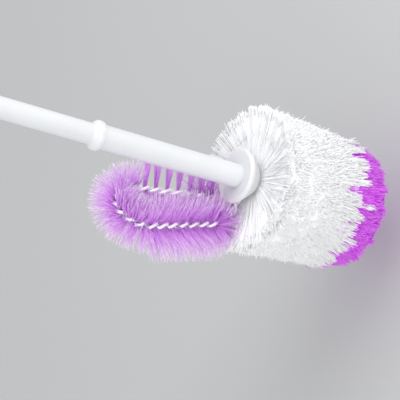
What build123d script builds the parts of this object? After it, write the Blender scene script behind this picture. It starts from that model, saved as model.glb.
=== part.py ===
from build123d import *

import os
from math import asin, atan, cos, hypot, pi, radians, sin, tan

# Toilet brush: two-piece handle, hub, round head and a U-shaped rim brush on twisted wire.
# Millimetres, +Z up, head down. The origin is the centre of the hanging eye at the handle's
# top end, Z runs along the handle, and the rim brush stands out towards -X.

# Upper handle
GRIP_DIAMETER = 12.6
GRIP_WALL = 1.6
GRIP_LENGTH = 188.0  # from the end cap's seat to the lip's mouth
LIP_DIAMETER = 17.8
LIP_RIM_HEIGHT = 2.0
LIP_FLARE_HEIGHT = 5.0
LIP_FLARE_LOW_PULL = 0.4  # shares of that height over which the flare's curve keeps straight
LIP_FLARE_HIGH_PULL = 0.6
LIP_RECESS_DEPTH = 2.2
LIP_EDGE_ROUND = 0.3

# End cap with the hanging eye
CAP_DIAMETER = 12.0  # under the grip's, so that a ring or clip slides on past it
EYE_TO_SEAT = 12.0
EYE_THICKNESS = 6.0
EYE_SHOULDER_HEIGHT = 4.0
HANG_HOLE_DIAMETER = 5.5
HANG_HOLE_ROUND = 0.5
CAP_PLUG_LENGTH = 12.0

# Lower handle
STEM_DIAMETER = 14.5
STEM_WALL = 2.0
STEM_LENGTH = 97.0  # seen between the lip's mouth and the hub's flange
SPIGOT_LENGTH = 25.0
SPIGOT_WALL = 1.4
SPIGOT_LEAD_IN = 0.5
SPIGOT_RIB_COUNT = 6
SPIGOT_RIB_DIAMETER = 1.2
SPIGOT_RIB_HEIGHT = 0.35

# Hub
FLANGE_DIAMETER = 34.0
FLANGE_THICKNESS = 2.6
FLANGE_ROUND = 1.0
DISH_DIAMETER = 30.0
DISH_DEPTH = 1.5
NOSE_DIAMETER = 16.5
HUB_DEPTH = 14.0
HUB_PLUG_LENGTH = 16.0
CORE_BORE_DEPTH = 20.0

# Clearances
FIT_CLEARANCE = 0.05  # radial, at each push fit
RIM_CLEARANCE = 0.4  # round the stem in the lip's recess
SEAT_CLEARANCE = 0.3
WIRE_HOLE_CLEARANCE = 0.2
FILAMENT_CLEARANCE = 0.3
MATCH_TOLERANCE = 1e-3  # two radii nearer than this are the same

# Twisted wire, folded in two: the filaments are gripped between its strands
WIRE_DIAMETER = 1.8
STRAND_GAP = 0.6
TWIST_PITCH = 14.0  # for a full turn of the pair
TWIST_STEPS = 8  # straight runs that stand for a full turn
WIRE_SIDES = 6  # flats that stand for the round wire

# Filament rows: one for each half turn of the wires, a fan of tapered tufts on a collar
ROW_FILL = 0.93  # share of the room between two rows
TUFT_FILL = 0.9  # share of the room between two tufts' tips
COLLAR_WALL = 1.2
ROOT_THICKNESS = 3.0
HEAD_TUFTS = 18
RIM_TUFTS = 12

# Round head
HEAD_FIRST_ROOT = 4.5  # below the hub's nose
HEAD_WHITE_ROWS = 8
HEAD_PURPLE_ROWS = 2
HEAD_HUB_REACH = 44.5
HEAD_TAPER = 5.5
HEAD_DOME_SHARE = 0.3
HEAD_DOME_DROP = 3.5
HEAD_LEAN_BACK = 7.0
HEAD_LEAN_OUT = 8.0
HEAD_WIRE_TAIL = 1.5  # of bare wire past the last root

# Rim brush
RIM_OFFSET = 30.0  # from the handle's axis to the legs, level with the flange
RIM_TILT = 13.5
RIM_FOOT_SPACING = 25.0
RIM_TURN_RADIUS = 17.0
RIM_TURN_HEIGHT = 43.5
RIM_REACH = 21.0
RIM_TURN_REACH = 18.5
RIM_MIDDLE_GAP = 0.4  # between a leg's fans and the loop's middle line
RIM_TURN_GAP = 3.0  # between the turn's fans and the middle of the turn
RIM_FIRST_ROW = -1.5  # up the legs from the flange's level
NECK_DEPTH = 9.0
NECK_END_RADIUS = 5.0
NECK_BEND_RADIUS = 5.0

os.makedirs("parts", exist_ok=True)

# Heights of the joints between the pieces
cap_seat_z = -EYE_TO_SEAT
mouth_z = cap_seat_z - GRIP_LENGTH
shoulder_z = mouth_z + LIP_RECESS_DEPTH - SEAT_CLEARANCE
flange_z = mouth_z - STEM_LENGTH
stem_seat_z = flange_z - DISH_DEPTH
nose_z = flange_z - HUB_DEPTH

grip_radius = GRIP_DIAMETER / 2
grip_bore_radius = grip_radius - GRIP_WALL
cap_radius = CAP_DIAMETER / 2
lip_radius = LIP_DIAMETER / 2
stem_radius = STEM_DIAMETER / 2
stem_bore_radius = stem_radius - STEM_WALL
spigot_radius = grip_bore_radius - SPIGOT_RIB_HEIGHT
flange_radius = FLANGE_DIAMETER / 2
nose_radius = NOSE_DIAMETER / 2

wire_radius = WIRE_DIAMETER / 2
strand_offset = wire_radius + STRAND_GAP / 2
pair_radius = strand_offset + wire_radius
wire_hole_radius = pair_radius + WIRE_HOLE_CLEARANCE
root_radius = pair_radius + FILAMENT_CLEARANCE
collar_radius = root_radius + COLLAR_WALL
row_pitch = TWIST_PITCH / 2

# ---- Upper handle: a tube that flares to the lip, with a recess for the stem's shoulder
recess_radius = stem_radius + RIM_CLEARANCE
flare_foot_z = mouth_z + LIP_RIM_HEIGHT
flare_top_z = flare_foot_z + LIP_FLARE_HEIGHT
with BuildPart() as grip_tube:
    with BuildSketch(Plane.XZ):
        with BuildLine():
            Polyline(
                (grip_radius, flare_top_z),
                (grip_radius, cap_seat_z),
                (grip_bore_radius, cap_seat_z),
                (grip_bore_radius, mouth_z + LIP_RECESS_DEPTH),
                (recess_radius, mouth_z + LIP_RECESS_DEPTH),
                (recess_radius, mouth_z),
                (lip_radius, mouth_z),
                (lip_radius, flare_foot_z),
            )
            Bezier(
                (lip_radius, flare_foot_z),
                (lip_radius, flare_foot_z + LIP_FLARE_HEIGHT * LIP_FLARE_LOW_PULL),
                (grip_radius, flare_top_z - LIP_FLARE_HEIGHT * LIP_FLARE_HIGH_PULL),
                (grip_radius, flare_top_z),
            )
        make_face()
    revolve(axis=Axis.Z)
    mouth_edges = grip_tube.edges().filter_by(GeomType.CIRCLE).group_by(Axis.Z)[0]
    fillet(mouth_edges.sort_by(SortBy.RADIUS)[-1], LIP_EDGE_ROUND)
grip_tube.part.label = "grip_tube"
export_step(grip_tube.part, "parts/grip_tube.step")

# ---- End cap: plug, round shoulder and a flat eye to hang the brush by
plug_radius = grip_bore_radius - FIT_CLEARANCE
with BuildPart() as grip_end_cap:
    with BuildSketch(Plane.XZ):
        with BuildLine():
            Polyline(
                (0, cap_radius),
                (0, cap_seat_z - CAP_PLUG_LENGTH),
                (plug_radius, cap_seat_z - CAP_PLUG_LENGTH),
                (plug_radius, cap_seat_z),
                (cap_radius, cap_seat_z),
                (cap_radius, 0),
            )
            RadiusArc((cap_radius, 0), (0, cap_radius), -cap_radius)
        make_face()
    revolve(axis=Axis.Z)
    flat_foot_z = cap_seat_z + EYE_SHOULDER_HEIGHT
    with BuildSketch(Plane.YZ):
        for side in (-1, 1):
            with BuildLine():
                flat_y = side * EYE_THICKNESS / 2
                outside_y = side * CAP_DIAMETER
                Polyline(
                    (flat_y, CAP_DIAMETER),
                    (flat_y, flat_foot_z + cap_radius - EYE_THICKNESS / 2),
                    (side * cap_radius, flat_foot_z),
                    (outside_y, flat_foot_z),
                    (outside_y, CAP_DIAMETER),
                    close=True,
                )
            make_face()
    extrude(amount=CAP_DIAMETER, both=True, mode=Mode.SUBTRACT)
    with BuildSketch(Plane.XZ):
        Circle(HANG_HOLE_DIAMETER / 2)
    extrude(amount=CAP_DIAMETER, both=True, mode=Mode.SUBTRACT)
    hole_edges = grip_end_cap.edges().filter_by(GeomType.CIRCLE).filter_by(
        lambda edge: abs(edge.radius - HANG_HOLE_DIAMETER / 2) < MATCH_TOLERANCE
    )
    fillet(hole_edges, HANG_HOLE_ROUND)
grip_end_cap.part.label = "grip_end_cap"
export_step(grip_end_cap.part, "parts/grip_end_cap.step")

# ---- Lower handle: a hollow stem with a ribbed spigot that pushes into the grip
spigot_top_z = shoulder_z + SPIGOT_LENGTH
spigot_bore_radius = spigot_radius - SPIGOT_WALL
throat_z = shoulder_z - STEM_WALL
with BuildPart() as stem_tube:
    with BuildSketch(Plane.XZ):
        with BuildLine():
            Polyline(
                (stem_radius, stem_seat_z),
                (stem_radius, shoulder_z),
                (spigot_radius, shoulder_z),
                (spigot_radius, spigot_top_z),
                (spigot_bore_radius, spigot_top_z),
                (spigot_bore_radius, throat_z),
                (stem_bore_radius, throat_z - STEM_WALL),
                (stem_bore_radius, stem_seat_z),
                close=True,
            )
        make_face()
    revolve(axis=Axis.Z)
    rib_centre = grip_bore_radius - FIT_CLEARANCE - SPIGOT_RIB_DIAMETER / 2
    rib_length = SPIGOT_LENGTH - SPIGOT_WALL
    with BuildSketch(Plane.XY.offset(shoulder_z)):
        with PolarLocations(rib_centre, SPIGOT_RIB_COUNT):
            Circle(SPIGOT_RIB_DIAMETER / 2)
    extrude(amount=rib_length)
    tip_edges = stem_tube.edges().filter_by(GeomType.CIRCLE).group_by(Axis.Z)[-1]
    chamfer(tip_edges.sort_by(SortBy.RADIUS)[-1], SPIGOT_LEAD_IN)
stem_tube.part.label = "stem_tube"
export_step(stem_tube.part, "parts/stem_tube.step")

# ---- Rim brush path: hub, elbow, leg, turn, leg, elbow, hub
tilt = radians(RIM_TILT)
foot_half = RIM_FOOT_SPACING / 2
leg_spread = asin(RIM_TURN_RADIUS / hypot(RIM_TURN_HEIGHT, foot_half)) - atan(
    foot_half / RIM_TURN_HEIGHT
)
loop_plane = Plane(
    origin=(-RIM_OFFSET, 0, flange_z), x_dir=(0, 1, 0), z_dir=(cos(tilt), 0, sin(tilt))
)


def loop_point(across, up):
    """A point of the rim loop's own plane: across it from its middle line, and up it."""
    return loop_plane.from_local_coords(Vector(across, up, 0))


def elbow_point(side):
    """Where a leg, drawn on below the flange, meets its neck."""
    down = NECK_DEPTH / cos(tilt)
    return loop_point(side * (foot_half - down * tan(leg_spread)), -down)


def neck_end(side):
    """Where a neck stops inside the hub, on the line from its elbow to the handle's axis."""
    elbow = elbow_point(side)
    inwards = NECK_END_RADIUS / hypot(elbow.X, elbow.Y)
    return Vector(elbow.X * inwards, elbow.Y * inwards, elbow.Z)


def turn_foot(side):
    """Where a leg runs into the turn."""
    across = side * RIM_TURN_RADIUS * cos(leg_spread)
    return loop_point(across, RIM_TURN_HEIGHT - RIM_TURN_RADIUS * sin(leg_spread))


with BuildLine() as rim_path:
    FilletPolyline(neck_end(-1), elbow_point(-1), turn_foot(-1), radius=NECK_BEND_RADIUS)
    ThreePointArc(
        turn_foot(-1), loop_point(0, RIM_TURN_HEIGHT + RIM_TURN_RADIUS), turn_foot(1)
    )
    FilletPolyline(turn_foot(1), elbow_point(1), neck_end(1), radius=NECK_BEND_RADIUS)

# ---- Head path: straight down from inside the hub
head_rows = HEAD_WHITE_ROWS + HEAD_PURPLE_ROWS
head_root_z = nose_z - HEAD_FIRST_ROOT
core_top_z = nose_z + CORE_BORE_DEPTH - SEAT_CLEARANCE
core_end_z = head_root_z - (head_rows - 1) * row_pitch - ROOT_THICKNESS - HEAD_WIRE_TAIL
with BuildLine() as head_path:
    Line((0, 0, core_top_z), (0, 0, core_end_z))

# ---- Hub: plug in the stem, saucer-like flange, cone and the holes for the wires
hub_plug_radius = stem_bore_radius - FIT_CLEARANCE
seat_radius = stem_radius + RIM_CLEARANCE
dish_radius = DISH_DIAMETER / 2
with BuildPart() as hub:
    with BuildSketch(Plane.XZ):
        with BuildLine():
            Polyline(
                (0, flange_z + HUB_PLUG_LENGTH),
                (hub_plug_radius, flange_z + HUB_PLUG_LENGTH),
                (hub_plug_radius, stem_seat_z),
                (seat_radius, stem_seat_z),
                (dish_radius, flange_z),
                (flange_radius, flange_z),
                (flange_radius, flange_z - FLANGE_THICKNESS),
                (nose_radius, nose_z),
                (0, nose_z),
                close=True,
            )
        make_face()
    revolve(axis=Axis.Z)
    flange_edges = hub.edges().filter_by(GeomType.CIRCLE).filter_by(
        lambda edge: abs(edge.radius - flange_radius) < MATCH_TOLERANCE
    )
    fillet(flange_edges, FLANGE_ROUND)
    with BuildSketch(Plane.XY.offset(nose_z)):
        Circle(wire_hole_radius)
    extrude(amount=CORE_BORE_DEPTH, mode=Mode.SUBTRACT)
    for side in (-1, 1):
        outwards = elbow_point(side) - neck_end(side)
        hole_foot = neck_end(side) - outwards.normalized() * SEAT_CLEARANCE
        with BuildSketch(Plane(hole_foot, x_dir=(0, 0, 1), z_dir=outwards)):
            Circle(wire_hole_radius)
        extrude(amount=flange_radius, mode=Mode.SUBTRACT)
hub.part.label = "hub"
export_step(hub.part, "parts/hub.step")


# ---- Wires: each is one wire that winds along its path, folds over at the far end and
# winds back beside itself, so both its ends are in the hub
for name, path in (("head_wire", head_path.wire()), ("rim_wire", rim_path.wire())):
    wound_length = path.length - wire_radius
    steps = round(wound_length / TWIST_PITCH * TWIST_STEPS)
    across = Vector(0, 1, 0)
    out_strand = []
    home_strand = []
    for step in range(steps + 1):
        distance = wound_length * step / steps
        middle = path.position_at(distance, position_mode=PositionMode.LENGTH)
        along = path.tangent_at(distance, position_mode=PositionMode.LENGTH)
        across = (across - along * across.dot(along)).normalized()
        angle = 2 * pi * distance / TWIST_PITCH
        outwards = across * cos(angle) + along.cross(across) * sin(angle)
        out_strand.append(middle + outwards * strand_offset)
        home_strand.append(middle - outwards * strand_offset)
    with BuildPart() as folded_wire:
        with BuildLine() as strands:
            Polyline(*out_strand, *reversed(home_strand))
        route = strands.wire()
        with BuildSketch(Plane(route @ 0, z_dir=route % 0)):
            RegularPolygon(wire_radius, WIRE_SIDES)
        sweep(path=route, transition=Transition.RIGHT)
    folded_wire.part.label = name
    export_step(folded_wire.part, f"parts/{name}.step")


# ---- Filament rows: the pieces that every row is made of
def make_collar(across, tufts, turned):
    """Add the collar round the wires, with a flat for each tuft to stand on."""
    first_corner = turned + 180 / tufts
    with BuildSketch(across) as collar:
        RegularPolygon(collar_radius, tufts, major_radius=False, rotation=first_corner)
        Circle(root_radius, mode=Mode.SUBTRACT)
    extrude(collar.sketch, amount=ROOT_THICKNESS / 2, both=True)


def make_tuft(across, tufts, angle, reach, tip_thickness, lean=0.0):
    """Add one tuft that widens from its flat on the collar to its trimmed tip."""
    outwards = across.x_dir * cos(angle) + across.y_dir * sin(angle)
    sideways = across.z_dir.cross(outwards)
    root_width = 2 * collar_radius * tan(pi / tufts)
    tip_width = 2 * reach * tan(pi / tufts) * TUFT_FILL
    root_corner = (
        across.origin
        + outwards * collar_radius
        - across.z_dir * ROOT_THICKNESS / 2
        - sideways * root_width / 2
    )
    tip_foot = (ROOT_THICKNESS - tip_thickness) / 2 + lean
    tip_side = (root_width - tip_width) / 2
    with Locations(Plane(root_corner, x_dir=across.z_dir, z_dir=sideways)):
        Wedge(
            ROOT_THICKNESS,
            reach - collar_radius,
            root_width,
            xmin=tip_foot,
            xmax=tip_foot + tip_thickness,
            zmin=tip_side,
            zmax=tip_side + tip_width,
            align=None,
        )


# ---- Round head: fans that lean back at the hub and forwards at the domed end
for row in range(head_rows):
    share = row / (head_rows - 1)
    domed = max(0.0, share - 1 + HEAD_DOME_SHARE) / HEAD_DOME_SHARE
    reach = HEAD_HUB_REACH - HEAD_TAPER * share - HEAD_DOME_DROP * domed**2
    lean = HEAD_LEAN_BACK - (HEAD_LEAN_BACK + HEAD_LEAN_OUT) * share
    tip_pitch = row_pitch + (HEAD_LEAN_BACK + HEAD_LEAN_OUT) / (head_rows - 1)
    across = Plane.XY.offset(head_root_z - row * row_pitch)
    turned = 180 / HEAD_TUFTS * (row % 2)  # each row's tufts stand between the last one's
    with BuildPart() as head_row:
        make_collar(across, HEAD_TUFTS, turned)
        for tuft in range(HEAD_TUFTS):
            angle = radians(turned) + 2 * pi * tuft / HEAD_TUFTS
            make_tuft(across, HEAD_TUFTS, angle, reach, ROW_FILL * tip_pitch, lean)
    colour = "white" if row < HEAD_WHITE_ROWS else "purple"
    number = row + 1 if row < HEAD_WHITE_ROWS else row + 1 - HEAD_WHITE_ROWS
    head_row.part.label = f"{colour}_row_{number}"
    export_step(head_row.part, f"parts/{colour}_row_{number}.step")


# ---- Rim brush: fans round the bent wires, shorter on the loop's inner side
def make_rim_row(across, full_reach, room, pitch_at):
    """Add a fan that keeps within its room towards local -X, where the pitch may narrow."""
    make_collar(across, RIM_TUFTS, 0)
    corner_share = tan(pi / RIM_TUFTS) * TUFT_FILL
    for tuft in range(RIM_TUFTS):
        angle = 2 * pi * tuft / RIM_TUFTS
        corner_out = cos(angle) - corner_share * abs(sin(angle))
        reach = full_reach if corner_out * full_reach > -room else -room / corner_out
        make_tuft(across, RIM_TUFTS, angle, reach, ROW_FILL * pitch_at(corner_out * reach))


leg_length = (turn_foot(1) - loop_point(foot_half, 0)).length
leg_rows = round((leg_length - RIM_FIRST_ROW) / row_pitch)
leg_pitch = (leg_length - RIM_FIRST_ROW) / leg_rows
for place, side in (("front", -1), ("back", 1)):
    foot = loop_point(side * foot_half, 0)
    along = (turn_foot(side) - foot).normalized()
    outside = along.cross(loop_plane.z_dir) * side
    for row in range(leg_rows):
        height = RIM_FIRST_ROW + leg_pitch * (row + 0.5)
        lower_height = height - leg_pitch / 2
        room = foot_half / cos(leg_spread) + lower_height * tan(leg_spread)
        across = Plane(foot + along * height, x_dir=outside, z_dir=along)
        with BuildPart() as leg_row:
            make_rim_row(across, RIM_REACH, room - RIM_MIDDLE_GAP, lambda outwards: leg_pitch)
        leg_row.part.label = f"rim_{place}_row_{row + 1}"
        export_step(leg_row.part, f"parts/rim_{place}_row_{row + 1}.step")

turn_arc = pi + 2 * leg_spread
turn_rows = round(turn_arc * RIM_TURN_RADIUS / row_pitch)
turn_pitch = turn_arc / turn_rows
turn_middle = loop_point(0, RIM_TURN_HEIGHT)
for row in range(turn_rows):
    angle = turn_pitch * (row + 0.5) - leg_spread
    outwards = loop_plane.x_dir * cos(angle) + loop_plane.y_dir * sin(angle)
    across = Plane(
        turn_middle + outwards * RIM_TURN_RADIUS,
        x_dir=outwards,
        z_dir=loop_plane.z_dir.cross(outwards),
    )
    with BuildPart() as turn_row:
        make_rim_row(
            across,
            RIM_TURN_REACH,
            RIM_TURN_RADIUS - RIM_TURN_GAP,
            lambda outwards: 2 * tan(turn_pitch / 2) * (RIM_TURN_RADIUS + outwards),
        )
    turn_row.part.label = f"rim_turn_row_{row + 1}"
    export_step(turn_row.part, f"parts/rim_turn_row_{row + 1}.step")
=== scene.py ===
import math

import bpy
import numpy as np
from mathutils import Matrix, Vector


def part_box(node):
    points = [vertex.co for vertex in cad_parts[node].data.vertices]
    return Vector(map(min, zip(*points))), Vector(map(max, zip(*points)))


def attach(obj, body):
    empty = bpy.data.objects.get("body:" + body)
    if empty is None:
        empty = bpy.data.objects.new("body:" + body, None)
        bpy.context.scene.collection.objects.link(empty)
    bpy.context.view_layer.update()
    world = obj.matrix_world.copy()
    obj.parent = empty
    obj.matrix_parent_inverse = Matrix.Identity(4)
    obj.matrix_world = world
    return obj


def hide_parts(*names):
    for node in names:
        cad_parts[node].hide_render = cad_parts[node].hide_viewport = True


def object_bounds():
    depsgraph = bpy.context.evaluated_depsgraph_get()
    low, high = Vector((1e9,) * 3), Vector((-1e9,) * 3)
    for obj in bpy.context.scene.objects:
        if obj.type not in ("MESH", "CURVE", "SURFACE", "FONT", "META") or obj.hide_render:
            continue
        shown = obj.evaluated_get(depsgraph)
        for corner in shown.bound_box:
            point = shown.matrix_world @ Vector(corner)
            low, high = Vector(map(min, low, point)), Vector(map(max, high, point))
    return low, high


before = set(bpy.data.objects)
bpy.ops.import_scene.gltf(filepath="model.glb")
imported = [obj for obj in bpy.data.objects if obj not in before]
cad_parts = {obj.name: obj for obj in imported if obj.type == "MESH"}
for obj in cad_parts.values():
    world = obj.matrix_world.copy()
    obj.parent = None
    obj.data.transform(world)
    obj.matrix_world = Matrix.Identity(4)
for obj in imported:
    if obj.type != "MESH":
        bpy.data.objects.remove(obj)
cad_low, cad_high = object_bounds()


# ---- Studio
# The brush hangs head down a little over a plain pale floor, in soft light. The camera looks
# down past the handle at the hub, turned so that the handle lies almost level.
MM = 0.001
hub_low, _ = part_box("hub")
stem_low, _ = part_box("stem_tube")
DISH_DEPTH = 1.5 * MM  # of the hub's flange, in which the lower handle stands
flange_z = stem_low.z + DISH_DEPTH
hub_centre = Vector((0, 0, flange_z))

CAMERA_AZIMUTH, CAMERA_ELEVATION = math.radians(35), math.radians(33)
CAMERA_ROLL = math.radians(74.7)
CAMERA_DISTANCE, CAMERA_NEAREST = 0.95, 0.05
CAMERA_LENS = 142
HUB_RIGHT, HUB_UP = 20.8 * MM, 14.9 * MM  # from the middle of the view

back = Vector((
    math.sin(CAMERA_AZIMUTH) * math.cos(CAMERA_ELEVATION),
    -math.cos(CAMERA_AZIMUTH) * math.cos(CAMERA_ELEVATION),
    math.sin(CAMERA_ELEVATION),
))
level_right = Vector((math.cos(CAMERA_AZIMUTH), math.sin(CAMERA_AZIMUTH), 0))
level_up = back.cross(level_right)
view_right = level_right * math.cos(CAMERA_ROLL) - level_up * math.sin(CAMERA_ROLL)
view_up = level_right * math.sin(CAMERA_ROLL) + level_up * math.cos(CAMERA_ROLL)
aim = hub_centre - view_right * HUB_RIGHT - view_up * HUB_UP

bpy.ops.object.select_all(action="DESELECT")
bpy.ops.object.camera_add()
camera = bpy.context.active_object
camera.name = "camera"
camera.data.lens = CAMERA_LENS
camera.data.clip_start = CAMERA_NEAREST
axes = Matrix((view_right, view_up, back)).transposed().to_4x4()
camera.matrix_world = Matrix.Translation(aim + back * CAMERA_DISTANCE) @ axes
bpy.context.scene.camera = camera

FLOOR_SIZE = 6
FLOOR_GAP = 30 * MM  # leaves room for the brush when it is pulled off its handle
bpy.ops.mesh.primitive_plane_add(size=FLOOR_SIZE, location=(0, 0, cad_low.z - FLOOR_GAP))
floor = bpy.context.active_object
floor.name = "floor"
floor_paint = bpy.data.materials.new("floor_paint")
floor_paint.use_nodes = True
floor_shader = floor_paint.node_tree.nodes["Principled BSDF"]
floor_shader.inputs["Base Color"].default_value = (0.455, 0.458, 0.458, 1)
floor_shader.inputs["Roughness"].default_value = 0.9
floor.data.materials.append(floor_paint)

world = bpy.data.worlds.new("studio")
bpy.context.scene.world = world
world.use_nodes = True
surroundings = world.node_tree.nodes["Background"]
surroundings.inputs["Color"].default_value = (0.97, 0.98, 1.0, 1)
surroundings.inputs["Strength"].default_value = 1.0


def soft_box(name, direction, distance, size, power):
    """A square soft light that faces the hub."""
    bpy.ops.object.light_add(type="AREA")
    light = bpy.context.active_object
    light.name = name
    light.data.shape = "SQUARE"
    light.data.size = size
    light.data.energy = power
    light.location = hub_centre + direction.normalized() * distance
    light.rotation_mode = "QUATERNION"
    light.rotation_quaternion = direction.to_track_quat("Z", "Y")


soft_box("key_light", view_up + back * 0.55, distance=1.1, size=0.9, power=7)
soft_box(
    "fill_light", back - view_up * 0.5 + view_right * 0.3,
    distance=1.3, size=1.1, power=8.5,
)

bpy.context.scene.view_settings.view_transform = "Standard"


# ---- Handle, end cap and hub
# Injection-moulded white polypropylene: two lengths of tube, a plug in the upper one's end
# and a hub in the lower one's. Their polish is very slightly uneven, as such mouldings are
# where they cool.
class Shade:
    """A material and its nodes, whose values are written as expressions."""

    def __init__(self, name):
        self.material = bpy.data.materials.new(name)
        self.material.use_nodes = True
        self.tree = self.material.node_tree
        self.shader = self.tree.nodes["Principled BSDF"]

    def node(self, kind, settings=None, output=0, **inputs):
        """One output of a new node, with its settings made first and then its sockets.

        A socket is given by its name, or by its number as in _6.
        """
        made = self.tree.nodes.new(kind)
        for key, value in (settings or {}).items():
            setattr(made, key, value)
        for key, value in inputs.items():
            self.plug(made.inputs[int(key[1:]) if key[1:].isdigit() else key], value)
        return Value(self, made.outputs[output])

    def plug(self, socket, value):
        if isinstance(value, Value):
            self.tree.links.new(value.socket, socket)
        else:
            socket.default_value = value

    def mix(self, factor, low, high):
        """A colour between two others."""
        return self.node(
            "ShaderNodeMix", {"data_type": "RGBA"}, output=2, _0=factor, _6=low, _7=high
        )

    def attribute(self, name):
        return self.node("ShaderNodeAttribute", {"attribute_name": name}, output="Fac")

    def noise(self, scale, detail=2.0):
        """Unevenness in the material itself, which stays with the piece."""
        place = self.node("ShaderNodeTexCoord", output="Object")
        return self.node("ShaderNodeTexNoise", Vector=place, Scale=scale, Detail=detail)

    def bump(self, height, strength, distance):
        uneven = self.node(
            "ShaderNodeBump", Height=height, Strength=strength, Distance=distance
        )
        self.plug(self.shader.inputs["Normal"], uneven)

    def set(self, **inputs):
        """Give the material's own shader these values."""
        for key, value in inputs.items():
            self.plug(self.shader.inputs[key.replace("_", " ")], value)


class Value:
    """A socket's value, with arithmetic that adds Math nodes."""

    def __init__(self, shade, socket):
        self.shade, self.socket = shade, socket

    def math(self, operation, first, second):
        return self.shade.node("ShaderNodeMath", {"operation": operation}, _0=first, _1=second)

    def __add__(self, other):
        return self.math("ADD", self, other)

    def __radd__(self, other):
        return self.math("ADD", other, self)

    def __mul__(self, other):
        return self.math("MULTIPLY", self, other)

    def __rmul__(self, other):
        return self.math("MULTIPLY", other, self)

    def __pow__(self, other):
        return self.math("POWER", self, other)

    def __rpow__(self, other):
        return self.math("POWER", other, self)


white_plastic = Shade("white_plastic")
cooling = white_plastic.noise(scale=55.0, detail=3.0)
white_plastic.set(
    Base_Color=white_plastic.mix(cooling, (0.66, 0.67, 0.685, 1), (0.71, 0.715, 0.725, 1)),
    Roughness=0.24 + 0.14 * cooling,
    IOR=1.49,
    Subsurface_Weight=0.12,
    Subsurface_Scale=2 * MM,
)
white_plastic.bump(white_plastic.noise(scale=260.0), strength=0.06, distance=0.1 * MM)

for node in ("grip_tube", "grip_end_cap", "stem_tube", "hub"):
    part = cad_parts[node]
    part.data.materials.clear()
    part.data.materials.append(white_plastic.material)


# ---- Twisted wires
# Galvanised steel wire, folded in two and twisted tight so that it grips the filaments.
# One pair runs down the middle of the head. The other is bent to a U beside the handle, and
# both of its ends are held in the hub.
head_wire_low, head_wire_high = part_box("head_wire")
WIRE_RADIUS = 1.2 * MM
STRAND_OFFSET = 1.25 * MM  # from the middle of the pair
TWIST_PITCH = 14.0 * MM  # of the left-handed twist
half_turn = TWIST_PITCH / 2
WIRE_STEP = 0.5 * MM
FOLD_POINTS, FOLD_REACH = 7, 1.6  # of the loop at a wire's end, its reach in strand offsets


class WirePath:
    """A path as close points, with a side direction that turns as little as can be."""

    def __init__(self, points):
        points = np.array([tuple(p) for p in points])
        run = np.r_[0, np.cumsum(np.linalg.norm(np.diff(points, axis=0), axis=1))]
        self.length = run[-1]
        count = int(self.length / WIRE_STEP)
        self.at = np.linspace(0, self.length, count + 1)
        self.points = np.stack([np.interp(self.at, run, points[:, k]) for k in range(3)], 1)
        along = np.gradient(self.points, self.at, axis=0)
        self.along = along / np.linalg.norm(along, axis=1, keepdims=True)
        side = np.array([0.0, 1.0, 0.0])
        sides = []
        for tangent in self.along:
            side = side - tangent * side.dot(tangent)
            side /= np.linalg.norm(side)
            sides.append(side)
        self.side = np.array(sides)
        self.other = np.cross(self.along, self.side)

    def read(self, rows, at):
        """One of the path's rows of vectors at these lengths."""
        return np.stack([np.interp(at, self.at, rows[:, k]) for k in range(3)], 1)

    def outwards(self, at, angle):
        """Unit vectors square to the path, at these lengths and angles about it."""
        side, other = self.read(self.side, at), self.read(self.other, at)
        return side * np.cos(angle)[:, None] + other * np.sin(angle)[:, None]


def twisted_wire(name, path, body, node):
    """One folded wire: out along the path as one strand, round its end, back as the other."""
    turn = -2 * math.pi * path.at / TWIST_PITCH
    out = path.points + STRAND_OFFSET * path.outwards(path.at, turn)
    home = path.points + STRAND_OFFSET * path.outwards(path.at, turn + math.pi)
    swing = np.linspace(0, math.pi, FOLD_POINTS + 2)[1:-1]
    last = path.outwards(path.at[-1:], turn[-1:])[0]
    fold = (
        path.points[-1]
        + STRAND_OFFSET * np.cos(swing)[:, None] * last
        + FOLD_REACH * STRAND_OFFSET * np.sin(swing)[:, None] * path.along[-1]
    )
    route = np.concatenate([out, fold, home[::-1]])
    curve = bpy.data.curves.new(name, "CURVE")
    curve.dimensions = "3D"
    curve.bevel_depth = WIRE_RADIUS
    curve.bevel_resolution = 2
    curve.use_fill_caps = True
    spline = curve.splines.new("POLY")
    spline.points.add(len(route) - 1)
    spline.points.foreach_set("co", np.c_[route, np.ones(len(route))].ravel())
    wire = bpy.data.objects.new(name, curve)
    bpy.context.collection.objects.link(wire)
    bpy.ops.object.select_all(action="DESELECT")
    wire.select_set(True)
    bpy.context.view_layer.objects.active = wire
    bpy.ops.object.convert(target="MESH")
    wire = bpy.context.active_object
    bpy.ops.object.shade_smooth()
    wire.data.materials.clear()
    wire.data.materials.append(galvanised.material)
    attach(wire, body)
    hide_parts(node)


galvanised = Shade("galvanised_wire")
spangle = galvanised.noise(scale=900.0, detail=3.0)
galvanised.set(
    Base_Color=galvanised.mix(spangle, (0.92, 0.92, 0.95, 1), (1.0, 1.0, 1.0, 1)),
    Metallic=0.3,
    Roughness=0.30 + 0.2 * spangle,
)

head_path = WirePath([(0, 0, head_wire_high.z), (0, 0, head_wire_low.z + WIRE_RADIUS)])
twisted_wire("head_wire_twist", head_path, "brush", "head_wire")

RIM_OFFSET, RIM_TILT, RIM_FOOT_HALF = 30.0 * MM, math.radians(13.5), 12.5 * MM
RIM_TURN_RADIUS, RIM_TURN_HEIGHT = 17.0 * MM, 43.5 * MM
RIM_TURN_POINTS, NECK_BEND_POINTS = 60, 16
NECK_DEPTH, NECK_END_RADIUS, NECK_BEND_RADIUS = 9.0 * MM, 5.0 * MM, 5.0 * MM
leg_spread = math.asin(
    RIM_TURN_RADIUS / math.hypot(RIM_TURN_HEIGHT, RIM_FOOT_HALF)
) - math.atan(RIM_FOOT_HALF / RIM_TURN_HEIGHT)


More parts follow.
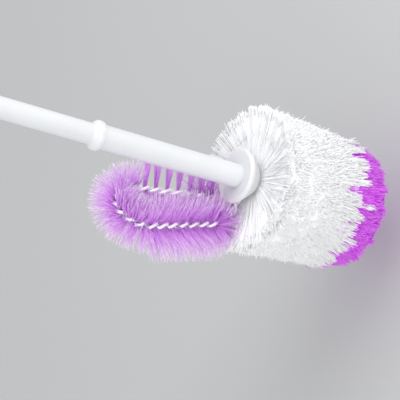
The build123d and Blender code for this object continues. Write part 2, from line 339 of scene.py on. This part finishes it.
def loop_point(across, up):
    """A point in the rim loop's own tilted plane."""
    return Vector((
        -RIM_OFFSET - up * math.sin(RIM_TILT), across, flange_z + up * math.cos(RIM_TILT)
    ))


def rounded_corner(before, corner, after, radius):
    """Points on the arc that rounds a corner."""
    to_before, to_after = (before - corner).normalized(), (after - corner).normalized()
    half = to_before.angle(to_after) / 2
    middle = corner + (to_before + to_after).normalized() * (radius / math.sin(half))
    first = corner + to_before * (radius / math.tan(half)) - middle
    last = corner + to_after * (radius / math.tan(half)) - middle
    shares = np.arange(NECK_BEND_POINTS + 1) / NECK_BEND_POINTS
    return [middle + radius * first.slerp(last, share, first) for share in shares]


# Out of the hub, up one leg, round the turn, and down the other leg to the hub again.
rim_points = []
for side in (-1, 1):
    down = NECK_DEPTH / math.cos(RIM_TILT)
    elbow = loop_point(side * (RIM_FOOT_HALF - down * math.tan(leg_spread)), -down)
    level = Vector((elbow.x, elbow.y, 0))
    inner_end = elbow - level + level.normalized() * NECK_END_RADIUS
    turn_foot = loop_point(
        side * RIM_TURN_RADIUS * math.cos(leg_spread),
        RIM_TURN_HEIGHT - RIM_TURN_RADIUS * math.sin(leg_spread),
    )
    leg = [inner_end, *rounded_corner(inner_end, elbow, turn_foot, NECK_BEND_RADIUS)]
    if side < 0:
        rim_points += leg
        for angle in np.linspace(-leg_spread, math.pi + leg_spread, RIM_TURN_POINTS):
            rim_points.append(loop_point(
                -RIM_TURN_RADIUS * math.cos(angle),
                RIM_TURN_HEIGHT + RIM_TURN_RADIUS * math.sin(angle),
            ))
    else:
        rim_points += leg[::-1]
rim_path = WirePath(rim_points)
twisted_wire("rim_wire_twist", rim_path, "brush", "rim_wire")


# ---- Packed lengths of the head
# The filaments of the head, white and for the last part magenta, are held so close together
# by the wires that just below their tips they look like one soft body. Each colour's part of
# it is drawn out ring by ring, slightly uneven, and closed where it meets the other.
HEAD_ROWS, HEAD_WHITE_ROWS = 10, 8
HEAD_FIRST_ROOT = 3.7 * MM  # below the hub's nose
HEAD_HUB_REACH, HEAD_TAPER = 44.5 * MM, 5.5 * MM
HEAD_DOME_SHARE, HEAD_DOME_DROP = 0.3, 3.5 * MM  # the far end's rounding
HEAD_LEAN_BACK, HEAD_LEAN_OUT = 7.0 * MM, 8.0 * MM  # of the first fan and the last
FAN_RISE = 0.4  # share of its lean that a fan takes up early, near the wires
first_root_z = hub_low.z - HEAD_FIRST_ROOT + half_turn / 2

MASS_RIDGES, MASS_UNEVEN = 160, 0.25 * MM
MASS_DEPTH, MASS_EDGE_DEPTH = 2.1 * MM, 3.4 * MM  # below the tips, and by the hub
MASS_BORDER, MASS_APART = 0.66, 0.01  # where the magenta starts, under white tips
MASS_SIDE, MASS_SIDE_RINGS = 0.16, 9
MASS_END, MASS_END_FACE, MASS_END_RINGS = 0.98, 0.985, 5
MASS_EDGE = (0.03, 0.09)  # the rings by the hub, as shares of the head's length
TOP_FACE = (0.06, 0.3, 0.5, 0.7, 0.84)  # the rings of each face, as shares of its reach
BORDER_FACE = (0.06, 0.6)
END_FACE = (0.06, 0.3, 0.6, 0.8)


def fan_curve(share, angle, at, more_reach=0.0, more_lean=0.0):
    """Points on fans: how far along the head, round it and out to the tip, all as shares."""
    domed = np.clip(share - 1 + HEAD_DOME_SHARE, 0, None) / HEAD_DOME_SHARE
    reach = HEAD_HUB_REACH - HEAD_TAPER * share - HEAD_DOME_DROP * domed**2 + more_reach
    lean = HEAD_LEAN_BACK - (HEAD_LEAN_BACK + HEAD_LEAN_OUT) * share + more_lean
    root_z = first_root_z - share * HEAD_ROWS * half_turn
    lifted = FAN_RISE * at * (1 - at) + at * at
    return np.stack(
        [reach * at * np.cos(angle), reach * at * np.sin(angle), root_z + lean * lifted], -1
    )


def bristle_mass(name, profile, shade, seed):
    """The close-packed lengths below the tips, drawn out ring by ring from its top face."""
    bpy.ops.object.select_all(action="DESELECT")
    radius, height = profile[0]
    bpy.ops.mesh.primitive_circle_add(vertices=MASS_RIDGES, radius=radius, fill_type="NGON")
    mass = bpy.context.active_object
    mass.name = name
    bpy.ops.object.mode_set(mode="EDIT")
    bpy.ops.mesh.select_all(action="SELECT")
    bpy.ops.transform.translate(value=(0, 0, height))
    for to_radius, to_height in profile[1:]:
        bpy.ops.mesh.extrude_region_move(
            TRANSFORM_OT_translate={"value": (0, 0, to_height - height)}
        )
        grow = to_radius / radius
        bpy.ops.transform.resize(value=(grow, grow, 1), center_override=(0, 0, to_height))
        radius, height = to_radius, to_height
    bpy.ops.mesh.select_all(action="SELECT")
    bpy.ops.transform.vertex_random(offset=MASS_UNEVEN, seed=seed)
    bpy.ops.mesh.normals_make_consistent(inside=False)
    bpy.ops.object.mode_set(mode="OBJECT")
    bpy.ops.object.shade_smooth()
    mass.data.materials.append(shade.material)
    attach(mass, "brush")


def ring_at(share, at, depth=0.0):
    """The radius and height of a ring of the mass."""
    x, _, z = fan_curve(share, 0.0, at)
    return x - depth, z


white_profile = [ring_at(0.0, at) for at in TOP_FACE]
white_profile += [ring_at(share, 1.0, MASS_EDGE_DEPTH) for share in MASS_EDGE]
for share in np.linspace(MASS_SIDE, MASS_BORDER, MASS_SIDE_RINGS):
    white_profile.append(ring_at(share, 1.0, MASS_DEPTH))
white_profile += [ring_at(MASS_BORDER, at) for at in reversed(BORDER_FACE)]

magenta_start = MASS_BORDER + MASS_APART
magenta_profile = [ring_at(magenta_start, at) for at in BORDER_FACE]
for share in np.linspace(magenta_start, MASS_END, MASS_END_RINGS):
    magenta_profile.append(ring_at(share, 1.0, MASS_DEPTH))
magenta_profile += [ring_at(MASS_END_FACE, at) for at in reversed(END_FACE)]

# Painted shade: the white body is a little greyer than the white filaments, standing in for
# the shade that falls among the packed filaments. The noise over it is uneven tone.
white_packed_painted_shade = Shade("white_packed_painted_shade")
white_packed_painted_shade.set(
    Base_Color=white_packed_painted_shade.mix(
        white_packed_painted_shade.noise(scale=400.0), (0.88, 0.885, 0.895, 1), (0.96, 0.965, 0.97, 1)
    ),
    Roughness=0.8,
)
bristle_mass("white_filament_mass", white_profile, white_packed_painted_shade, 3)

magenta_packed = Shade("magenta_packed")
magenta_packed.set(
    Base_Color=magenta_packed.mix(
        magenta_packed.noise(scale=400.0), (0.60, 0.05, 0.78, 1), (0.74, 0.10, 0.90, 1)
    ),
    Roughness=0.8,
)
bristle_mass("magenta_filament_mass", magenta_profile, magenta_packed, 4)


# ---- Bristle rows of the head
# Extruded polypropylene filaments, white and then magenta, two thirds of a millimetre thick
# and slightly crimped. Every half turn of the wires grips one fan of them, in tufts that lean
# back over the hub at one end and out at the other, and all are cut to a rounded shape.
FILAMENT_SIDES = 3
FILAMENT_RADIUS, FILAMENT_TIP_RADIUS = 0.32 * MM, 0.2 * MM
FILAMENT_CRIMP, FILAMENT_WAVES = 0.14 * MM, 7
LONG_START, SHORT_START = 0.015, 0.6  # where the modelled part starts, of the whole reach
LONG_RINGS = (0.35, 0.58, 0.7, 0.78, 0.84, 0.9, 0.95, 1.0)
SHORT_RINGS = (0.3, 0.5, 0.65, 0.8, 0.9, 1.0)
TONES = 24  # slight differences of shade from filament to filament


def crimped_filament(name, radius, tip_radius, rings, crimp, waves, phase):
    """A model filament with its real thickness and a length of 1, from root to tip."""
    bpy.ops.object.select_all(action="DESELECT")
    bpy.ops.mesh.primitive_circle_add(
        vertices=FILAMENT_SIDES, radius=radius, fill_type="NGON"
    )
    filament = bpy.context.active_object
    filament.name = name
    bpy.ops.object.mode_set(mode="EDIT")
    bpy.ops.mesh.select_all(action="SELECT")
    aside, height, size = 0, 0, radius
    for ring in rings:
        to_aside = crimp * math.sin(phase + 2 * math.pi * waves * ring) * math.sqrt(ring)
        bpy.ops.mesh.extrude_region_move(
            TRANSFORM_OT_translate={"value": (to_aside - aside, 0, ring - height)}
        )
        to_size = radius + (tip_radius - radius) * ring
        bpy.ops.transform.resize(
            value=(to_size / size, to_size / size, 1), center_override=(to_aside, 0, ring)
        )
        aside, height, size = to_aside, ring, to_size
    bpy.ops.mesh.select_all(action="SELECT")
    bpy.ops.mesh.normals_make_consistent(inside=False)
    bpy.ops.object.mode_set(mode="OBJECT")
    bpy.ops.object.shade_smooth()
    return filament


def filament_models(name, radius, tip_radius, rings, crimp, waves):
    """Model filaments whose crimps are a quarter of a wave apart."""
    quarters = [quarter * math.pi / 2 for quarter in range(4)]
    return [
        crimped_filament(f"{name}_{k}", radius, tip_radius, rings, crimp, waves, phase)
        for k, phase in enumerate(quarters)
    ]


def unit(vectors):
    """The same rows of vectors, each with a length of 1."""
    return vectors / np.linalg.norm(vectors, axis=1, keepdims=True)


def planted(name, models, roots, bends, tips, rng):
    """A mesh of copies of the model filaments, each bent along its curve from root to tip."""
    count = len(roots)
    run = unit(tips - roots)
    aside = unit(np.cross(run, rng.normal(size=(count, 3))))
    beside = np.cross(run, aside)
    tone = rng.integers(0, TONES, count)
    chosen = rng.integers(0, len(models), count)
    points, faces, along, tones = [], [], [], []
    start = 0
    for number, model in enumerate(models):
        pick = np.flatnonzero(chosen == number)
        shape = np.array([tuple(v.co) for v in model.data.vertices])
        t = shape[None, :, 2, None]
        line = (
            roots[pick, None] * (1 - t) ** 2
            + bends[pick, None] * 2 * t * (1 - t)
            + tips[pick, None] * t**2
        )
        line += shape[None, :, 0, None] * aside[pick, None]
        line += shape[None, :, 1, None] * beside[pick, None]
        points.append(line.reshape(-1, 3))
        along.append(np.tile(shape[:, 2], len(pick)))
        tones.append(np.repeat(tone[pick] / (TONES - 1), len(shape)))
        first = start + len(shape) * np.arange(len(pick))
        for polygon in model.data.polygons:
            faces.extend((first[:, None] + np.array(polygon.vertices)).tolist())
        start += line.shape[0] * line.shape[1]
    mesh = bpy.data.meshes.new(name)
    mesh.from_pydata(np.concatenate(points), [], faces)
    for label, values in (("along", along), ("tone", tones)):
        attribute = mesh.attributes.new(label, "FLOAT", "POINT")
        attribute.data.foreach_set("value", np.concatenate(values))
    mesh.shade_smooth()
    piece = bpy.data.objects.new(name, mesh)
    bpy.context.collection.objects.link(piece)
    return piece


white_filament = Shade("white_filament")
tone = white_filament.attribute("tone")
along = white_filament.attribute("along")
white_filament.set(
    Base_Color=white_filament.mix(
        tone * 0.6 + along * 0.4, (0.985, 0.992, 1.0, 1), (1.0, 1.0, 1.0, 1)
    ),
    Roughness=0.55 + 0.15 * tone,
    Specular_IOR_Level=0.35,
)

magenta_filament = Shade("magenta_filament")
tone = magenta_filament.attribute("tone")
tip = magenta_filament.attribute("along") ** 8.0
deep = magenta_filament.mix(tone, (0.78, 0.045, 0.96, 1), (0.86, 0.12, 0.99, 1))
magenta_filament.set(
    Base_Color=magenta_filament.mix(tip * 0.35, deep, (0.90, 0.55, 0.97, 1)),
    Roughness=0.5 + 0.15 * tone,
    Specular_IOR_Level=0.3,
)

long_models = filament_models(
    "long_filament", FILAMENT_RADIUS, FILAMENT_TIP_RADIUS, LONG_RINGS,
    FILAMENT_CRIMP, FILAMENT_WAVES,
)
short_models = filament_models(
    "short_filament", FILAMENT_RADIUS, FILAMENT_TIP_RADIUS, SHORT_RINGS,
    FILAMENT_CRIMP, FILAMENT_WAVES * (1 - SHORT_START),
)

WHITE_SHARE = 0.83  # of the head's length
ROW_TUFTS = 104
ROW_PLAIN = (0.25, 0.8, 40)  # uneven reach and lean of the tufts in mm, filaments in each
ROW_UNEVEN = {0: (0.9, 0.5, 36), 1: (0.4, 0.8, 40), 7: (0.4, 3.0, 24)}
FIRST_ROW_CROWD = 1.6  # draws the first row's tufts towards the hub
TUFT_PLACE = 0.35  # how far a tuft strays from its place, in halves of the row
TUFT_SHARE, TUFT_ANGLE = 0.018, 0.045  # a filament's spread round its tuft
TIP_UNEVEN, LEAN_UNEVEN = 0.7, 0.9  # in mm, from filament to filament
TUFT_GATHER, BORDER_GATHER = 0.2, 0.4  # how far a tuft's tips draw together
TILT_BACK, TILT_OUT, TILT_BEND = math.radians(-8), math.radians(66), 0.6  # along the head
TILT_UNEVEN, TUFT_TILT_UNEVEN = 0.06, 0.08
BORDER_BEFORE, BORDER_WIDTH = 0.03, 0.05  # the band where white tips reach over the magenta
BORDER_TILT, BORDER_OVER = math.radians(17), 0.9 * MM
BORDER_SHIFT, BORDER_FADE = -0.025, 0.24
BORDER_WEDGES = (  # degrees round the head, depth as a share of its length, half width
    (-40, 0.22, 9), (-2, 0.14, 8), (-74, 0.17, 9), (-102, 0.14, 8), (-20, 0.10, 5),
    (-57, 0.10, 5), (-89, 0.10, 4), (30, 0.14, 8), (62, 0.12, 6), (95, 0.17, 8),
    (128, 0.12, 6), (160, 0.15, 8), (195, 0.14, 7), (225, 0.12, 6),
)


def border_wave(angle):
    """How far the border is moved, as a share: the magenta works in between white tufts."""
    wave = np.full(len(angle), BORDER_SHIFT)
    for degrees, depth, half_width in BORDER_WEDGES:
        apart = abs((angle - math.radians(degrees) + math.pi) % (2 * math.pi) - math.pi)
        wave -= depth * np.clip(1 - apart / math.radians(half_width), 0, None)
    return wave


def head_row(name, first_share, last_share, models, start, crowd, uneven, seed):
    """The fan of one half turn: tufts all round, whose filaments gather at their tips."""
    rng = np.random.default_rng(seed)
    uneven_reach, uneven_lean, tuft_filaments = uneven
    tuft = np.repeat(np.arange(ROW_TUFTS), tuft_filaments)
    count = len(tuft)
    shifts = rng.uniform(-TUFT_PLACE, TUFT_PLACE, ROW_TUFTS)
    place = (np.arange(ROW_TUFTS) % 2 + 0.5 + shifts) / 2
    width = last_share - first_share
    tuft_share = first_share + width * place**crowd
    tuft_angle = 2 * math.pi * (np.arange(ROW_TUFTS) + rng.random(ROW_TUFTS)) / ROW_TUFTS
    tuft_reach = rng.normal(0, uneven_reach, ROW_TUFTS) * MM
    from_border = (tuft_share - WHITE_SHARE + BORDER_BEFORE) / BORDER_WIDTH
    border = np.exp(-(from_border**2))[tuft, None]
    border *= first_share < WHITE_SHARE
    fade = np.exp(-abs(tuft_share - WHITE_SHARE) / BORDER_FADE)
    tuft_share += border_wave(tuft_angle) * fade
    tuft_lean = rng.normal(0, uneven_lean, ROW_TUFTS) * MM

    share = np.clip(tuft_share[tuft] + rng.normal(0, TUFT_SHARE, count), 0.0, 1.0)
    angle = tuft_angle[tuft] + rng.normal(0, TUFT_ANGLE, count)
    reach = tuft_reach[tuft] + (rng.exponential(TIP_UNEVEN, count) - TIP_UNEVEN) * MM
    lean = tuft_lean[tuft] + rng.normal(0, LEAN_UNEVEN, count) * MM
    tips = fan_curve(share, angle, 1.0, reach, lean)
    shared = fan_curve(tuft_share, tuft_angle, 1.0, tuft_reach, tuft_lean)
    gather = TUFT_GATHER + (BORDER_GATHER - TUFT_GATHER) * border
    tips += gather * (shared[tuft] - tips)
    tips += unit(tips * (1, 1, 0)) * border * BORDER_OVER
    # Next to the hub whole filaments show. Elsewhere it is only their outer part, which leans
    # further out towards the far end.
    if models is long_models:
        roots = fan_curve(share, angle, start)
        bends = fan_curve(share, angle, (1 + start) / 2)
    else:
        tilt = TILT_BACK + (TILT_OUT - TILT_BACK) * share**TILT_BEND
        tilt += rng.normal(0, TILT_UNEVEN, count) + BORDER_TILT * border[:, 0]
        tilt += rng.normal(0, TUFT_TILT_UNEVEN, ROW_TUFTS)[tuft]
        length = (1 - start) * np.linalg.norm(tips[:, :2], axis=1)
        inwards = -np.c_[np.cos(angle), np.sin(angle)]
        back_run = np.c_[inwards * np.cos(tilt)[:, None], np.sin(tilt)]
        roots = tips + back_run * length[:, None]
        bends = (tips + roots) / 2
    return planted(name, models, roots, bends, tips, rng)


bands = {  # where each colour starts and ends along the head, its rows, filament and slot
    "white": (0, WHITE_SHARE, HEAD_WHITE_ROWS, white_filament, "white_bristle"),
    "purple": (
        WHITE_SHARE, 1, HEAD_ROWS - HEAD_WHITE_ROWS, magenta_filament, "magenta_bristle"
    ),
}
HEAD_SEED = 100
row = 0
for colour, (band_start, band_end, band_rows, filament, slot) in bands.items():
    width = (band_end - band_start) / band_rows
    for number in range(band_rows):
        piece = head_row(
            f"{colour}_filaments_{number + 1}",
            band_start + number * width, band_start + (number + 1) * width,
            short_models if row else long_models, SHORT_START if row else LONG_START,
            1.0 if row else FIRST_ROW_CROWD, ROW_UNEVEN.get(row, ROW_PLAIN), HEAD_SEED + row,
        )
        piece.data.materials.append(filament.material)
        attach(piece, "brush")
        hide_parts(f"{colour}_row_{number + 1}")
        row += 1

for model in long_models + short_models:
    bpy.data.objects.remove(model)


# ---- Bristle rows of the rim brush
# Softer and thinner purple filaments, clear enough to show almost white at their tips, and
# gripped by the bent wires. They stand out evenly along the front leg and the turn, and in
# separate tufts, one for each half turn, on the outer side of the back leg.
rim_filament = Shade("rim_filament")
tone = rim_filament.attribute("tone")
tip = rim_filament.attribute("along") ** 2.5
deep = rim_filament.mix(tone, (0.80, 0.27, 1.0, 1), (0.90, 0.46, 1.0, 1))
rim_filament.set(
    Base_Color=rim_filament.mix(tip * 0.75, deep, (0.98, 0.93, 1.0, 1)),
    Roughness=0.45 + 0.2 * tone,
    Specular_IOR_Level=0.3,
)

RIM_FILAMENT_RADIUS, RIM_TIP_RADIUS = 0.2 * MM, 0.1 * MM
RIM_CRIMP, RIM_WAVES = 0.12 * MM, 2
RIM_RINGS = (0.3, 0.5, 0.68, 0.82, 0.92, 1.0)
rim_models = filament_models(
    "rim_filament", RIM_FILAMENT_RADIUS, RIM_TIP_RADIUS, RIM_RINGS, RIM_CRIMP, RIM_WAVES
)

RIM_ROW_FILAMENTS = 165
RIM_ROOT = 0.6 * MM  # from the middle of the pair of wires
RIM_REACH, RIM_INNER_REACH = 22.8 * MM, 22.0 * MM
RIM_TURN_REACH, RIM_ELBOW_REACH = 18.2 * MM, 19.0 * MM
RIM_REACH_UNEVEN = 0.09
RIM_LEAN, RIM_LEAN_BUNCHED = 1.2, 0.8  # in mm, and how much less of it in full bunches
RIM_INNER_BUNCHING, RIM_INNER_SPREAD = 0.1, 0.7  # how evenly the inside of the loop fills
RIM_FIRST_ROW = -1.5 * MM  # where the legs' rows start, from the level of the flange
RIM_FLAT = np.array([0.481, -0.687, 0.545])  # the fans lie flat across this direction
leg_length = (turn_foot - loop_point(RIM_FOOT_HALF, 0)).length
turn_length = RIM_TURN_RADIUS * (math.pi + 2 * leg_spread)
turn_start = rim_path.length / 2 - turn_length / 2
turn_end = turn_start + turn_length


def rim_fans(name, start, pitch, reaches, bunching, spread, inner, seed):
    """Fans to both sides of the wires, more or less bunched at each of their half turns."""
    rng = np.random.default_rng(seed)
    row = np.repeat(np.arange(len(reaches)), RIM_ROW_FILAMENTS)
    count = len(row)
    way = rng.choice([-1, 1], count)
    bunching = np.where(way == inner, RIM_INNER_BUNCHING, bunching)
    within = rng.uniform(-0.5, 0.5, count) * (1 - bunching)
    at = start + (row + 0.5 + within) * pitch
    along = unit(rim_path.read(rim_path.along, at))
    flat = unit(np.cross(along, RIM_FLAT)) * way[:, None]
    square = np.cross(along, flat)
    spread = np.where(way == inner, RIM_INNER_SPREAD, spread)
    turn = (spread * rng.uniform(-0.5, 0.5, count) * math.pi)[:, None]
    outwards = flat * np.cos(turn) + square * np.sin(turn)
    reach = np.array(reaches)[row]
    reach = np.where(way == inner, np.minimum(reach, RIM_INNER_REACH), reach)
    lengths = (reach * (1 - abs(rng.normal(0, RIM_REACH_UNEVEN, count))))[:, None]
    lean = (rng.normal(0, RIM_LEAN - RIM_LEAN_BUNCHED * bunching, count) * MM)[:, None]
    middle = rim_path.read(rim_path.points, at)
    roots = middle + outwards * RIM_ROOT
    tips = middle + outwards * lengths + along * lean
    bends = middle + outwards * lengths * 0.5 + along * lean * 0.25
    return planted(name, rim_models, roots, bends, tips, rng)


row_nodes = {
    place: sorted(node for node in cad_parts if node.startswith(f"rim_{place}_row"))
    for place in ("front", "turn", "back")
}
leg_rows, turn_rows = len(row_nodes["front"]), len(row_nodes["turn"])
leg_pitch = (leg_length - RIM_FIRST_ROW) / leg_rows
turn_pitch = turn_length / turn_rows
leg_start = turn_start - (leg_rows + 1) * leg_pitch
leg_reaches = [RIM_ELBOW_REACH] + [RIM_REACH] * leg_rows
stretches = {  # start, pitch, reaches, bunching, spread and inner side
    "front": (leg_start, leg_pitch, leg_reaches, 0.1, 0.72, 1),
    "turn": (turn_start, turn_pitch, [RIM_TURN_REACH] * turn_rows, 0.15, 0.86, 0),
    "back": (turn_end, leg_pitch, leg_reaches[::-1], 0.78, 0.25, 1),
}
RIM_SEED = 21
for seed, (place, sizes) in enumerate(stretches.items(), RIM_SEED):
    piece = rim_fans(f"rim_{place}_filaments", *sizes, seed)
    piece.data.materials.append(rim_filament.material)
    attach(piece, "brush")
    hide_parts(*row_nodes[place])


# ---- Filaments at the feet of the rim brush
# The same purple filaments, gripped where each leg of the twisted wires bends in to the hub.
# The tight bend turns them to all sides, so that they stand out round it.
FOOT_SEED, FOOT_FILAMENTS = 31, 280
FOOT_REACH_UNEVEN = 0.1
FOOT_TOWARDS = (-0.1, 0.75)  # least and most lean across the flat of the fans
FOOT_PLACE = 0.1  # beyond the leg's rows, in their pitches


def rim_foot(name, at, seed):
    """Filaments that stand out all round the wires where they bend."""
    rng = np.random.default_rng(seed)
    shifts = rng.uniform(-0.5, 0.5, FOOT_FILAMENTS) * leg_pitch
    middle = rim_path.read(rim_path.points, at + shifts)
    way = rng.uniform(0, 2 * math.pi, FOOT_FILAMENTS)[:, None]
    towards = rng.uniform(*FOOT_TOWARDS, FOOT_FILAMENTS)[:, None]
    aside = unit(np.cross(RIM_FLAT, (0, 0, 1.0))[None])
    above = np.cross(RIM_FLAT[None], aside)
    outwards = unit(aside * np.cos(way) + above * np.sin(way) + RIM_FLAT * towards)
    shorter = abs(rng.normal(0, FOOT_REACH_UNEVEN, FOOT_FILAMENTS))[:, None]
    roots = middle + outwards * RIM_ROOT
    tips = middle + outwards * RIM_ELBOW_REACH * (1 - shorter)
    return planted(name, rim_models, roots, (roots + tips) / 2, tips, rng)


foot_places = {
    "front": turn_start - (leg_rows + FOOT_PLACE) * leg_pitch,
    "back": turn_end + (leg_rows + FOOT_PLACE) * leg_pitch,
}
for seed, (place, at) in enumerate(foot_places.items(), FOOT_SEED):
    piece = rim_foot(f"rim_{place}_foot_filaments", at, seed)
    piece.data.materials.append(rim_filament.material)
    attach(piece, "brush")

for model in rim_models:
    bpy.data.objects.remove(model)
